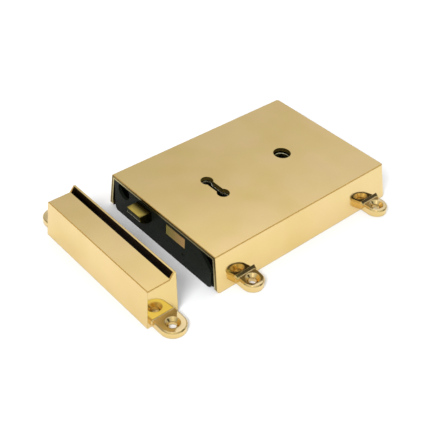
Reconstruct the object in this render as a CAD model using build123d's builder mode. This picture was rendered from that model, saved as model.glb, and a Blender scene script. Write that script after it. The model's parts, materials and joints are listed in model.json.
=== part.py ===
from build123d import *
from math import cos, pi, radians, sin
import os

os.makedirs("parts", exist_ok=True)

# A rim lock: a black steel lock case under a cast brass cover, with its cast brass keep beside it.
# It lies as it would on a door: Z = 0 is the face against the door and +Z points into the room.
# The origin is the middle of the cover's four screw holes, and the bolts come out towards -X.

# The cast brass cover, which is as much larger than the case as its walls and these gaps
cover_side_gap = 0.35
cover_back_gap = 3.65
cover_height = 28.4
cover_plate = 3.0
cover_wall = 2.8
cover_lean = 4.0
cover_back_lean = 8.0
top_edge = 0.5
corner_radius = 1.8
corner_spread = 5.4
foot_radius = 3.0

# The cover's screw lugs
lug_spacing = 120.5
front_to_lug = 23.75
lug_reach = 6.8
lug_radius = 7.8
lug_thickness = 5.3
lug_edge = 0.8
lug_slope = 1.6
lug_root_lap = 1.2
lug_slope_lap = 1.0
lug_slope_spare = 0.5
screw_hole_radius = 2.6
countersink_radius = 4.7

# The black steel case, six inches by four
case_length = 152.4
case_width = 101.6
case_plate = 1.6
case_gap = 0.2
forend_thickness = 2.4
forend_foot_radius = 3.0
case_corner_radius = 2.0
forend_cut_width = 12.2
forend_cut_height = 11.9
forend_notch_radius = 6.2
forend_notch_inset = 10.5
forend_notch_drop = 3.9
pin_hole_radius = 1.1
pin_hole_y = -22.6
pin_hole_height = 9.2
cap_plate = 1.6
cap_recess = 0.4
cap_gap = 0.3

# The pillars that hold the cap, and their screws
pillar_radius = 3.5
pillar_inset = 9.8
pillar_hole_depth = 9.0
cap_screw_radius = 1.6
cap_screw_head_radius = 3.0
cap_screw_length = 8.0
cap_screw_slot = 0.8
cap_screw_slot_depth = 0.7
thread_gap = 0.1

# Where the spindle and the key go through
front_to_spindle = 110.0
spindle_to_key = 63.5
spindle_hole_radius = 6.3
spindle_square = 8.0
keyhole_radius = 4.4
keyhole_spread = 16.8
keyhole_neck = 5.2
case_keyhole_radius = 3.3
case_keyhole_neck = 3.6
key_reach = 13.5

# The two bolts
bolt_thickness = 8.2
slide_gap = 0.3
latch_y = 17.2
latch_width = 14.2
latch_throw = 9.5
latch_face = 3.4
latch_bulge = 1.6
latch_body = 20.0
dead_bolt_y = -14.8
dead_bolt_width = 19.2
dead_bolt_throw = 12.5
dead_bolt_body = 22.0
bolt_edge = 0.4
tail_thickness = 2.5
tail_lap = 10.0
rivet_radius = 1.2
rivet_gap = 0.05
latch_rivet_spread = 8.0
dead_bolt_rivet_spread = 12.0

# The latch's tail, guide and spring
latch_tail_width = 13.0
guide_to_front = 56.0
guide_radius = 2.5
guide_body_radius = 4.0
guide_body_length = 6.5
guide_flat = 3.0
spring_radius = 1.7
spring_wire = 0.7
spring_turns = 8
spring_steps = 12
wire_sides = 6
spring_seat_depth = 4.5
spring_gap = 0.25
spring_rod_radius = 0.9
spring_rod_gap = 0.05
spring_rod_root = 3.0
spring_rod_length = 20.0

# The follower that the spindle turns
follower_journal_radius = 7.9
follower_body_radius = 11.0
follower_body_low = 5.0
follower_recess = 0.8
spindle_countersink_radius = 5.7
journal_gap = 0.08
horn_length = 21.0
horn_half_width = 3.6
horn_low = 12.6
yoke_arm = 6.0
yoke_flange = 2.5
yoke_flange_start = 12.0
yoke_flange_end = 22.0
yoke_ear_margin = 3.0
yoke_bar = 4.0

# The dead bolt's tail, stump and levers
dead_tail_low_y = -34.0
dead_tail_high_y = -19.6
dead_tail_pad_length = 18.5
dead_tail_front = 24.0
dead_tail_end = 4.5
talon_width = 5.6
talon_depth = 3.4
talon_from_key = 7.1
stump_radius = 2.2
stump_end_gap = 0.6
pivot_radius = 2.6
pivot_gap = 0.06
pivot_slot_gap = 0.1
pivot_y = -28.0
pivot_from_spindle = 24.0
stump_from_pivot = 16.0
lever_thickness = 1.8
lever_gap = 0.35
lever_half_width = 7.4
lever_nose = 10.0
lever_corner = 1.2
lever_turns = (3.4, 3.8, 4.2)
gate_pocket = 1.4
gate_ease = 0.9
belly_rise = 2.4
collar_radius = 4.5
lever_spring_strip = 0.6
lever_spring_lap = 8.0
lever_spring_reach = 34.0
lever_spring_start = 4.0
lever_spring_gap = 0.2
lever_spring_height = 1.6

# The cast brass keep, which lies in front of the lock
keep_to_front = 28.0
keep_shift = 2.0
keep_depth = 23.9
keep_length = 106.2
keep_height = 28.4
keep_lip_height = 32.2
keep_lean = 1.9
keep_back_lean = 0.5
keep_wall = 2.8
keep_plate = 3.0
keep_slot_start = 18.9
keep_slot = 2.8
keep_slot_end_wall = 1.0
keep_lip_drop = 8.3
keep_edge = 0.5
keep_lip_edge = 0.4
keep_lug_radius = 9.0
keep_lug_reach = 8.6
keep_lug_thickness = 4.6
keep_lug_inset = 3.6
keep_lug_fillet = 1.0

# Places that follow from the sizes above
front_x = -lug_spacing / 2 - front_to_lug
cover_under = cover_height - cover_plate
case_top = cover_under - case_gap
case_under = case_top - case_plate
case_back = front_x + case_length
case_half = case_width / 2
side_lean_above_case = cover_lean * (1 - case_top / cover_height)
back_lean_above_case = cover_back_lean * (1 - case_top / cover_height)
cover_width = case_width + 2 * (cover_side_gap + cover_wall - side_lean_above_case)
cover_length = case_length + cover_back_gap + cover_wall - back_lean_above_case
cap_top = cap_recess + cap_plate
spindle_x = front_x + front_to_spindle
key_x = spindle_x - spindle_to_key
key_y = -keyhole_spread / 2
bolt_top = case_under - slide_gap
bolt_low = bolt_top - bolt_thickness
tail_low = bolt_top - tail_thickness
follower_top = case_top - follower_recess
latch_rear = front_x + latch_body
dead_bolt_rear = front_x + dead_bolt_body
pivot_x = spindle_x - pivot_from_spindle
stump_x = pivot_x - stump_from_pivot
guide_x = front_x + guide_to_front
guide_flat_x = guide_x - guide_flat
spring_z = (bolt_low + tail_low) / 2
lug_x = lug_spacing / 2
lug_y = cover_width / 2 + cover_lean + lug_reach
lug_places = [(x, y) for x in (-lug_x, lug_x) for y in (-lug_y, lug_y)]
pillar_y = case_half - pillar_inset
pillar_places = [(front_x + pillar_inset, -pillar_y), (case_back - pillar_inset, pillar_y)]
keep_back_x = front_x - keep_to_front
keep_front_x = keep_back_x - keep_depth
keep_under = keep_height - keep_plate
keep_slot_x = keep_front_x + keep_slot_start
keep_lip_x = keep_slot_x + keep_slot
keep_foot_half = keep_length / 2 + keep_lean
keep_lug_x = keep_front_x + keep_lug_inset + keep_lug_radius
keep_lug_y = keep_foot_half + keep_lug_reach


def lever_top(number):
    """The upper face of a lever in the stack, counted down from the bolt's tail."""
    return tail_low - lever_gap - number * (lever_thickness + lever_gap)


stack_low = lever_top(len(lever_turns) - 1) - lever_thickness


def rectangle(x_low, x_high, y_low, y_high, height=0):
    """A rectangle lying level at one height, given by its edges."""
    with BuildSketch(Plane.XY.offset(height)) as level:
        with Locations(((x_low + x_high) / 2, (y_low + y_high) / 2)):
            Rectangle(x_high - x_low, y_high - y_low)
    return level.sketch


def cover_half(height):
    """Half the cover's outer width at a height: the sides lean out towards the door."""
    return cover_width / 2 + cover_lean * (1 - height / cover_height)


def cover_level(height, inset, front, spread=0):
    """One level of the cover, or of its hollow when there is an inset, with its two back corners rounded."""
    below = 1 - height / cover_height
    half = cover_half(height) - inset
    back = front_x + cover_length + cover_back_lean * below - inset
    with BuildSketch(Plane.XY.offset(height)) as level:
        add(rectangle(front, back, -half, half))
        fillet(level.vertices().group_by(Axis.X)[-1], corner_radius + spread * below)
    return level.sketch


def keyhole_outline(radius, neck):
    """A keyhole that takes the key either way up: a round hole at each end of a narrower neck."""
    with BuildSketch() as keyhole:
        with Locations((key_x, key_y), (key_x, -key_y)):
            Circle(radius)
        with Locations((key_x, 0)):
            Rectangle(neck, keyhole_spread)
    return keyhole.sketch


def lug_outline(x, wall_y, hole_y, radius, fillet_radius=0):
    """The outline of a screw lug, standing out from a wall whose face is at wall_y at the lug's top."""
    out = 1 if hole_y > wall_y else -1
    shoulder = radius + fillet_radius + lug_root_lap
    with BuildSketch() as lug:
        with Locations((x, hole_y)):
            Circle(radius)
        with Locations((x, (wall_y + hole_y) / 2)):
            Rectangle(2 * radius, abs(hole_y - wall_y))
        with Locations((x, wall_y - out * lug_root_lap / 2)):
            Rectangle(2 * shoulder, lug_root_lap)
        if fillet_radius:
            fillet(lug.vertices().sort_by_distance((x, wall_y))[:2], fillet_radius)
    return lug.sketch


def cast_lug(outline, thickness):
    """A screw lug on the door's face, with its upper edge taken off."""
    with BuildPart() as lug:
        add(outline)
        extrude(amount=thickness - lug_edge)
        with BuildSketch(Plane.XY.offset(thickness - lug_edge)):
            add(outline)
        extrude(amount=lug_edge, taper=45)
    return lug.part


def lug_root(x, wall_low_y, wall_high_y, thickness, out):
    """The small slope cast across the root of a lug, drawn across the wall at one end of the slope."""
    low = Vector(wall_low_y + out * lug_slope, thickness)
    high = Vector(wall_high_y, thickness + lug_slope)
    lap = (high - low).normalized() * lug_slope_lap
    buried = Vector(wall_low_y - out * lug_slope_lap, thickness - lug_slope_lap)
    with BuildSketch(Plane.YZ.offset(x)) as slope:
        with BuildLine():
            Polyline(low - lap, high + lap, buried, close=True)
        make_face()
    return slope.sketch


# The cover: an open-fronted cast box with leaning sides, four screw lugs and two holes in its plate
with BuildPart() as lock_cover:
    outer_levels = [
        cover_level(0, 0, front_x, corner_spread),
        cover_level(cover_height - top_edge, 0, front_x, corner_spread),
        cover_level(cover_height, top_edge, front_x + top_edge),
    ]
    loft(sections=outer_levels, ruled=True)
    slope_half = lug_radius + lug_slope_spare
    for out in (-1, 1):
        wall_y = out * cover_half(lug_thickness)
        wall_high_y = out * cover_half(lug_thickness + lug_slope)
        for x in (-lug_x, lug_x):
            outline = lug_outline(x, wall_y, out * lug_y, lug_radius)
            add(cast_lug(outline, lug_thickness))
            add(lug_root(x - slope_half, wall_y, wall_high_y, lug_thickness, out))
            extrude(amount=2 * slope_half, dir=(1, 0, 0))
    hollow_front = front_x - cover_wall
    hollow_levels = [
        cover_level(0, cover_wall, hollow_front),
        cover_level(cover_under, cover_wall, hollow_front),
    ]
    loft(sections=hollow_levels, ruled=True, mode=Mode.SUBTRACT)
    foot_edges = lock_cover.edges().filter_by(Axis.Y).group_by(Axis.Z)[0]
    fillet(foot_edges.group_by(Axis.X)[0], foot_radius)
    with Locations(*[(x, y, lug_thickness) for x, y in lug_places]):
        CounterSinkHole(screw_hole_radius, countersink_radius, counter_sink_angle=90)
    with BuildSketch(Plane.XY.offset(cover_height)):
        add(keyhole_outline(keyhole_radius, keyhole_neck))
        with Locations((spindle_x, 0)):
            Circle(spindle_hole_radius)
    extrude(amount=-cover_plate, mode=Mode.SUBTRACT)
lock_cover.part.label = "lock_cover"
export_step(lock_cover.part, "parts/lock_cover.step")


# The case: a pressed tray whose front, the forend, lets the two bolts out
with BuildPart() as lock_case:
    with BuildSketch() as case_plan:
        add(rectangle(front_x, case_back, -case_half, case_half))
        fillet(case_plan.vertices().group_by(Axis.X)[-1], case_corner_radius)
    extrude(amount=case_top)
    inner_half = case_half - case_plate
    add(rectangle(front_x + forend_thickness, case_back - case_plate, -inner_half, inner_half))
    extrude(amount=case_under, mode=Mode.SUBTRACT)
    with BuildSketch(Plane.YZ.offset(front_x)):
        with Locations((latch_y, (bolt_top + bolt_low) / 2)):
            Rectangle(latch_width + 2 * slide_gap, bolt_thickness + 2 * slide_gap)
        with Locations((dead_bolt_y, (bolt_top + bolt_low) / 2)):
            Rectangle(dead_bolt_width + 2 * slide_gap, bolt_thickness + 2 * slide_gap)
        with Locations((case_half - forend_notch_inset, case_top - forend_notch_drop)):
            Circle(forend_notch_radius)
        with Locations((pin_hole_y, pin_hole_height)):
            Circle(pin_hole_radius)
        with BuildLine():
            Polyline(
                (-case_half, case_top),
                (-case_half + forend_cut_width, case_top),
                (-case_half, case_top - forend_cut_height),
                close=True,
            )
        make_face()
    extrude(amount=forend_thickness, mode=Mode.SUBTRACT)
    with BuildSketch(Plane.YZ.offset(front_x)):
        for side in (-1, 1):
            corner_y = side * (case_half - forend_foot_radius / 2)
            with Locations((corner_y, forend_foot_radius / 2)):
                Rectangle(forend_foot_radius, forend_foot_radius)
        with Locations(*[(side * (case_half - forend_foot_radius), forend_foot_radius) for side in (-1, 1)]):
            Circle(forend_foot_radius, mode=Mode.SUBTRACT)
    extrude(amount=forend_thickness, mode=Mode.SUBTRACT)
    with BuildSketch(Plane.XY.offset(case_under)):
        add(keyhole_outline(case_keyhole_radius, case_keyhole_neck))
        with Locations((spindle_x, 0)):
            Circle(follower_journal_radius + journal_gap)
    extrude(amount=case_plate, mode=Mode.SUBTRACT)
lock_case.part.label = "lock_case"
export_step(lock_case.part, "parts/lock_case.step")


# The cap: the plate that closes the case on the door's side
with BuildPart() as case_cap:
    cap_half = case_half - case_plate - cap_gap
    cap_front = front_x + forend_thickness + cap_gap
    cap_back = case_back - case_plate - cap_gap
    with BuildSketch(Plane.XY.offset(cap_recess)) as cap_plan:
        add(rectangle(cap_front, cap_back, -cap_half, cap_half))
        add(keyhole_outline(case_keyhole_radius, case_keyhole_neck), mode=Mode.SUBTRACT)
        with Locations((spindle_x, 0)):
            Circle(follower_journal_radius + journal_gap, mode=Mode.SUBTRACT)
    extrude(amount=cap_plate)
    with Locations(*[Plane((x, y, cap_recess), z_dir=(0, 0, -1)) for x, y in pillar_places]):
        CounterSinkHole(
            cap_screw_radius + thread_gap, cap_screw_head_radius + thread_gap, counter_sink_angle=90
        )
case_cap.part.label = "case_cap"
export_step(case_cap.part, "parts/case_cap.step")


# The pillars under the case's plate, tapped for the cap's screws
with BuildPart() as pillar:
    Cylinder(pillar_radius, case_under - cap_top, align=(Align.CENTER, Align.CENTER, Align.MIN))
    Cylinder(
        cap_screw_radius + thread_gap,
        pillar_hole_depth,
        align=(Align.CENTER, Align.CENTER, Align.MIN),
        mode=Mode.SUBTRACT,
    )
with BuildPart() as cap_pillars:
    with Locations(*[(x, y, cap_top) for x, y in pillar_places]):
        add(pillar.part)
cap_pillars.part.label = "cap_pillars"
export_step(cap_pillars.part, "parts/cap_pillars.step")


# The cap's countersunk screws
with BuildPart() as cap_screw:
    with BuildSketch(Plane.XZ):
        with BuildLine():
            Polyline(
                (0, 0),
                (cap_screw_head_radius, 0),
                (cap_screw_radius, cap_screw_head_radius - cap_screw_radius),
                (cap_screw_radius, cap_screw_length),
                (0, cap_screw_length),
                close=True,
            )
        make_face()
    revolve(axis=Axis.Z)
    Box(
        2 * cap_screw_head_radius,
        cap_screw_slot,
        2 * cap_screw_slot_depth,
        mode=Mode.SUBTRACT,
    )
with BuildPart() as cap_screws:
    with Locations(*[(x, y, cap_recess) for x, y in pillar_places]):
        add(cap_screw.part)
cap_screws.part.label = "cap_screws"
export_step(cap_screws.part, "parts/cap_screws.step")


# The latch bolt's brass head: flat above, and curved away below so that the keep pushes it in
with BuildPart() as latch_head:
    tip_x = front_x - latch_throw
    face_low = bolt_top - latch_face
    chord = Vector(tip_x - front_x, 0, face_low - bolt_low)
    bulge = Vector(-chord.Z, 0, chord.X).normalized() * latch_bulge
    middle = Vector((tip_x + front_x) / 2, 0, (face_low + bolt_low) / 2) + bulge
    lap_x = latch_rear - tail_lap
    with BuildSketch(Plane.XZ.offset(-latch_y)):
        with BuildLine():
            Polyline(
                (tip_x, face_low),
                (tip_x, bolt_top),
                (lap_x, bolt_top),
                (lap_x, tail_low),
                (latch_rear, tail_low),
                (latch_rear, bolt_low),
                (front_x, bolt_low),
            )
            ThreePointArc((front_x, bolt_low), (middle.X, middle.Z), (tip_x, face_low))
        make_face()
    extrude(amount=latch_width / 2, both=True)
    fillet(latch_head.faces().sort_by(Axis.X)[0].edges(), bolt_edge)
    with BuildSketch(Plane.YZ.offset(latch_rear)):
        with Locations((latch_y, spring_z)):
            Circle(spring_radius + spring_wire / 2 + spring_gap)
    extrude(amount=-spring_seat_depth, mode=Mode.SUBTRACT)
    latch_rivet_x = latch_rear - tail_lap / 2
    latch_rivet_places = [
        (latch_rivet_x, latch_y + side * latch_rivet_spread / 2) for side in (-1, 1)
    ]
    with BuildSketch(Plane.XY.offset(bolt_low)):
        with Locations(*latch_rivet_places):
            Circle(rivet_radius + rivet_gap)
    extrude(amount=bolt_thickness, mode=Mode.SUBTRACT)
latch_head.part.label = "latch_head"
export_step(latch_head.part, "parts/latch_head.step")


# The latch's steel tail: a bar from the head to a yoke round the follower, with two turned-down ears
with BuildPart() as latch_tail:
    bar_half = latch_tail_width / 2
    window = follower_journal_radius + slide_gap
    window_front = spindle_x - window - latch_throw
    window_back = spindle_x + window
    arm = window + yoke_arm
    flange_x = spindle_x + horn_half_width + slide_gap
    with BuildSketch(Plane.XY.offset(tail_low)) as tail_plan:
        add(rectangle(lap_x, window_front, latch_y - bar_half, latch_y + bar_half))
        add(rectangle(window_front - yoke_arm, window_back + yoke_bar, -arm, arm))
        add(rectangle(window_front - yoke_arm, window_front, 0, latch_y + bar_half))
        ear_low = flange_x - yoke_ear_margin
        add(rectangle(ear_low, window_back + yoke_bar, -yoke_flange_end, yoke_flange_end))
        add(rectangle(window_front, window_back, -window, window), mode=Mode.SUBTRACT)
        with Locations((guide_x - latch_throw / 2, latch_y)):
            SlotCenterToCenter(latch_throw, 2 * (guide_radius + pivot_slot_gap), mode=Mode.SUBTRACT)
        with Locations(*latch_rivet_places):
            Circle(rivet_radius + rivet_gap, mode=Mode.SUBTRACT)
    extrude(amount=tail_thickness)
    for side in (-1, 1):
        ends = sorted((side * yoke_flange_start, side * yoke_flange_end))
        add(rectangle(flange_x, flange_x + yoke_flange, ends[0], ends[1], horn_low))
        extrude(amount=tail_low - horn_low)
latch_tail.part.label = "latch_tail"
export_step(latch_tail.part, "parts/latch_tail.step")


# The rivets that join the latch's head and tail
with BuildPart() as latch_rivets:
    with BuildSketch(Plane.XY.offset(bolt_low)):
        with Locations(*latch_rivet_places):
            Circle(rivet_radius)
    extrude(amount=bolt_thickness)
latch_rivets.part.label = "latch_rivets"
export_step(latch_rivets.part, "parts/latch_rivets.step")


# The stud under the case's plate that guides the latch's tail and takes the push of its spring
with BuildPart() as latch_guide:
    shoulder = tail_low - slide_gap
    with BuildSketch(Plane.XY.offset(shoulder)):
        with Locations((guide_x, latch_y)):
            Circle(guide_radius)
    extrude(amount=case_under - shoulder)
    with BuildSketch(Plane.XY.offset(shoulder)) as guide_body:
        with Locations((guide_x, latch_y)):
            Circle(guide_body_radius)
        with Locations((guide_flat_x - guide_body_radius, latch_y)):
            Rectangle(2 * guide_body_radius, 2 * guide_body_radius, mode=Mode.SUBTRACT)
    extrude(amount=-guide_body_length)
    with BuildSketch(Plane.YZ.offset(guide_flat_x)):
        with Locations((latch_y, spring_z)):
            Circle(spring_rod_radius + spring_rod_gap)
    extrude(amount=spring_rod_root, mode=Mode.SUBTRACT)
latch_guide.part.label = "latch_guide"
export_step(latch_guide.part, "parts/latch_guide.step")


# The rod that keeps the latch's spring straight
with BuildPart() as spring_rod:
    with BuildSketch(Plane.YZ.offset(guide_flat_x + spring_rod_root)):
        with Locations((latch_y, spring_z)):
            Circle(spring_rod_radius)
    extrude(amount=-(spring_rod_root + spring_rod_length))
spring_rod.part.label = "spring_rod"
export_step(spring_rod.part, "parts/spring_rod.step")


# The latch's coil spring, from its seat in the head to the flat on the stud
with BuildPart() as latch_spring:
    spring_front = latch_rear - spring_seat_depth + spring_wire
    spring_length = guide_flat_x - spring_wire - spring_front
    coil_points = []
    for step in range(spring_turns * spring_steps + 1):
        angle = 2 * pi * step / spring_steps
        coil_points.append(
            (
                spring_front + spring_length * step / (spring_turns * spring_steps),
                latch_y + spring_radius * cos(angle),
                spring_z + spring_radius * sin(angle),
            )
        )
    with BuildLine():
        coil = Polyline(*coil_points)
    with BuildSketch(Plane(origin=coil @ 0, z_dir=coil % 0)):
        RegularPolygon(spring_wire / 2, wire_sides)
    sweep(transition=Transition.RIGHT)
latch_spring.part.label = "latch_spring"
export_step(latch_spring.part, "parts/latch_spring.step")


# The follower: a hub with a countersunk square hole for the spindle and a horn each way
with BuildPart() as follower:
    body_top = tail_low - slide_gap
    with BuildSketch(Plane.XZ):
        with BuildLine():
            Polyline(
                (spindle_x, cap_recess + spindle_countersink_radius),
                (spindle_x + spindle_countersink_radius, cap_recess),
                (spindle_x + follower_journal_radius, cap_recess),
                (spindle_x + follower_journal_radius, follower_body_low),
                (spindle_x + follower_body_radius, follower_body_low),
                (spindle_x + follower_body_radius, body_top),
                (spindle_x + follower_journal_radius, body_top),
                (spindle_x + follower_journal_radius, follower_top),
                (spindle_x + spindle_countersink_radius, follower_top),
                (spindle_x, follower_top - spindle_countersink_radius),
                close=True,
            )
        make_face()
    revolve(axis=Axis((spindle_x, 0, 0), (0, 0, 1)))
    with BuildSketch(Plane.XY.offset(horn_low)) as horns:
        with Locations((spindle_x, 0)):
            SlotOverall(2 * horn_length, 2 * horn_half_width, rotation=90)
    extrude(amount=body_top - horn_low)
    with BuildSketch(Plane.XY.offset(cap_recess)):
        with Locations((spindle_x, 0)):
            Rectangle(spindle_square, spindle_square)
    extrude(amount=follower_top, mode=Mode.SUBTRACT)
follower.part.label = "follower"
export_step(follower.part, "parts/follower.step")


# The dead bolt's brass head
with BuildPart() as dead_bolt_head:
    dead_lap_x = dead_bolt_rear - tail_lap
    bolt_half = dead_bolt_width / 2
    add(rectangle(front_x, dead_bolt_rear, dead_bolt_y - bolt_half, dead_bolt_y + bolt_half, bolt_low))
    extrude(amount=bolt_thickness)
    fillet(dead_bolt_head.faces().sort_by(Axis.X)[0].edges(), bolt_edge)
    add(rectangle(dead_lap_x, dead_bolt_rear, dead_bolt_y - bolt_half, dead_bolt_y + bolt_half, tail_low))
    extrude(amount=tail_thickness, mode=Mode.SUBTRACT)
    dead_rivet_x = dead_bolt_rear - tail_lap / 2
    dead_rivet_places = [
        (dead_rivet_x, dead_bolt_y + side * dead_bolt_rivet_spread / 2) for side in (-1, 1)
    ]
    with BuildSketch(Plane.XY.offset(bolt_low)):
        with Locations(*dead_rivet_places):
            Circle(rivet_radius + rivet_gap)
    extrude(amount=bolt_thickness, mode=Mode.SUBTRACT)
dead_bolt_head.part.label = "dead_bolt_head"
export_step(dead_bolt_head.part, "parts/dead_bolt_head.step")


# The dead bolt's steel tail, with the talon that the key drives and a slot over the lever pivot
with BuildPart() as dead_bolt_tail:
    pad_end = dead_lap_x + dead_tail_pad_length
    tail_front = front_x + dead_tail_front
    tail_end = pivot_x + dead_bolt_throw + dead_tail_end
    with BuildSketch(Plane.XY.offset(tail_low)) as dead_plan:
        add(rectangle(dead_lap_x, pad_end, dead_bolt_y - bolt_half, dead_bolt_y + bolt_half))
        add(rectangle(tail_front, tail_end, dead_tail_low_y, dead_tail_high_y))
        talon_x = key_x + talon_from_key
        with Locations((talon_x, dead_tail_high_y)):
            Rectangle(talon_width, 2 * talon_depth, mode=Mode.SUBTRACT)
        with Locations((pivot_x + dead_bolt_throw / 2, pivot_y)):
            SlotCenterToCenter(
                dead_bolt_throw, 2 * (pivot_radius + pivot_slot_gap), mode=Mode.SUBTRACT
            )
        with Locations(*dead_rivet_places):
            Circle(rivet_radius + rivet_gap, mode=Mode.SUBTRACT)
    extrude(amount=tail_thickness)
dead_bolt_tail.part.label = "dead_bolt_tail"
export_step(dead_bolt_tail.part, "parts/dead_bolt_tail.step")


# The rivets that join the dead bolt's head and tail
with BuildPart() as dead_bolt_rivets:
    with BuildSketch(Plane.XY.offset(bolt_low)):
        with Locations(*dead_rivet_places):
            Circle(rivet_radius)
    extrude(amount=bolt_thickness)
dead_bolt_rivets.part.label = "dead_bolt_rivets"
export_step(dead_bolt_rivets.part, "parts/dead_bolt_rivets.step")


# The stump on the dead bolt's tail, which has to pass the levers' gates
with BuildPart() as bolt_stump:
    stump_low = stack_low - stump_end_gap
    with BuildSketch(Plane.XY.offset(stump_low)):
        with Locations((stump_x, pivot_y)):
            Circle(stump_radius)
    extrude(amount=tail_low - stump_low)
bolt_stump.part.label = "bolt_stump"
export_step(bolt_stump.part, "parts/bolt_stump.step")


# The pivot that the levers turn on, standing under the case's plate
with BuildPart() as lever_pivot:
    pivot_low = cap_top + slide_gap
    with BuildSketch(Plane.XY.offset(pivot_low)):
        with Locations((pivot_x, pivot_y)):
            Circle(pivot_radius)
    extrude(amount=case_under - pivot_low)
lever_pivot.part.label = "lever_pivot"
export_step(lever_pivot.part, "parts/lever_pivot.step")


# The collar on the pivot that holds the levers up against the bolt's tail
with BuildPart() as lever_collar:
    with BuildSketch(Plane.XY.offset(cap_top)):
        with Locations((pivot_x, pivot_y)):
            Circle(collar_radius)
            Circle(pivot_radius + pivot_gap, mode=Mode.SUBTRACT)
    extrude(amount=stack_low - lever_gap - cap_top)
lever_collar.part.label = "lever_collar"
export_step(lever_collar.part, "parts/lever_collar.step")


def belly_lift(turn):
    """How far the key lifts a lever's belly to turn the lever this much."""
    return (pivot_x - key_x) * sin(radians(turn))


def lever_outline(turn):
    """A lever seen from above: its pivot, its belly over the key, and its two-pocket gate."""
    lower = pivot_y - lever_half_width
    upper = pivot_y + lever_half_width
    nose_x = key_x - lever_nose
    belly_end_x = key_x + lever_nose
    belly_low_y = key_y - key_reach + belly_lift(turn)
    belly_tip_y = belly_low_y + belly_rise
    pocket_half = stump_radius + gate_pocket
    end_drop = (stump_from_pivot + dead_bolt_throw) * sin(radians(turn))
    middle_drop = (stump_from_pivot + dead_bolt_throw / 2) * sin(radians(turn / 2))
    thrown_x = stump_x - dead_bolt_throw
    with BuildSketch() as lever:
        with BuildLine():
            Line((pivot_x, lower), (nose_x, lower))
            Line((nose_x, lower), (nose_x, belly_tip_y))
            ThreePointArc(
                (nose_x, belly_tip_y), (key_x, belly_low_y), (belly_end_x, belly_tip_y)
            )
            Line((belly_end_x, belly_tip_y), (belly_end_x + belly_rise, upper))
            Line((belly_end_x + belly_rise, upper), (pivot_x, upper))
            Line((pivot_x, upper), (pivot_x, lower))
        make_face()
        fillet(lever.vertices().group_by(Axis.X)[0], lever_corner)
        with Locations((pivot_x, pivot_y)):
            Circle(lever_half_width)
            Circle(pivot_radius + pivot_gap, mode=Mode.SUBTRACT)
        with Locations((stump_x, pivot_y)):
            Rectangle(2 * pocket_half, 2 * pocket_half, mode=Mode.SUBTRACT)
        with Locations((thrown_x, pivot_y + end_drop / 2)):
            Rectangle(2 * pocket_half, 2 * pocket_half + end_drop, mode=Mode.SUBTRACT)
        with Locations(((stump_x + thrown_x) / 2, pivot_y + middle_drop)):
            Rectangle(dead_bolt_throw, 2 * (stump_radius + gate_ease), mode=Mode.SUBTRACT)
    return lever.sketch


def make_lever(number):
    """One lever of the stack."""
    with BuildPart() as lever:
        with BuildSketch(Plane.XY.offset(lever_top(number) - lever_thickness)):
            add(lever_outline(lever_turns[number]))
        extrude(amount=lever_thickness)
    return lever.part


def make_lever_spring(number):
    """The spring strip along a lever's lower edge, which curves away to press on the case."""
    edge_y = pivot_y - lever_half_width - lever_spring_strip / 2
    wall_y = -(case_half - case_plate) + lever_spring_gap + lever_spring_strip / 2
    start_x = pivot_x - lever_spring_start
    bend_x = start_x - lever_spring_lap
    middle_z = lever_top(number) - lever_thickness / 2
    with BuildPart() as strip:
        with BuildSketch(Plane.XY.offset(middle_z - lever_spring_height / 2)):
            with BuildLine():
                flat = Line((start_x, edge_y), (bend_x, edge_y))
                TangentArc((bend_x, edge_y), (bend_x - lever_spring_reach, wall_y), tangent=flat % 1)
            trace(line_width=lever_spring_strip)
        extrude(amount=lever_spring_height)
    return strip.part


# The three levers, each with its gate at its own height, and their springs
for number in range(len(lever_turns)):
    lever_part = make_lever(number)
    lever_part.label = f"lever_{number + 1}"
    export_step(lever_part, f"parts/lever_{number + 1}.step")
    spring_part = make_lever_spring(number)
    spring_part.label = f"lever_spring_{number + 1}"
    export_step(spring_part, f"parts/lever_spring_{number + 1}.step")


def keep_inward(height):
    """How far the keep's sides have leaned in at a height."""
    return keep_lean * height / keep_height


def keep_level(height, inset, back):
    """One level of the keep, or of its hollow when there is an inset, as far as a place at its back."""
    front = keep_front_x + keep_inward(height) + inset
    half = keep_foot_half - keep_inward(height) - inset
    return rectangle(front, back, keep_shift - half, keep_shift + half, height)


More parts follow.
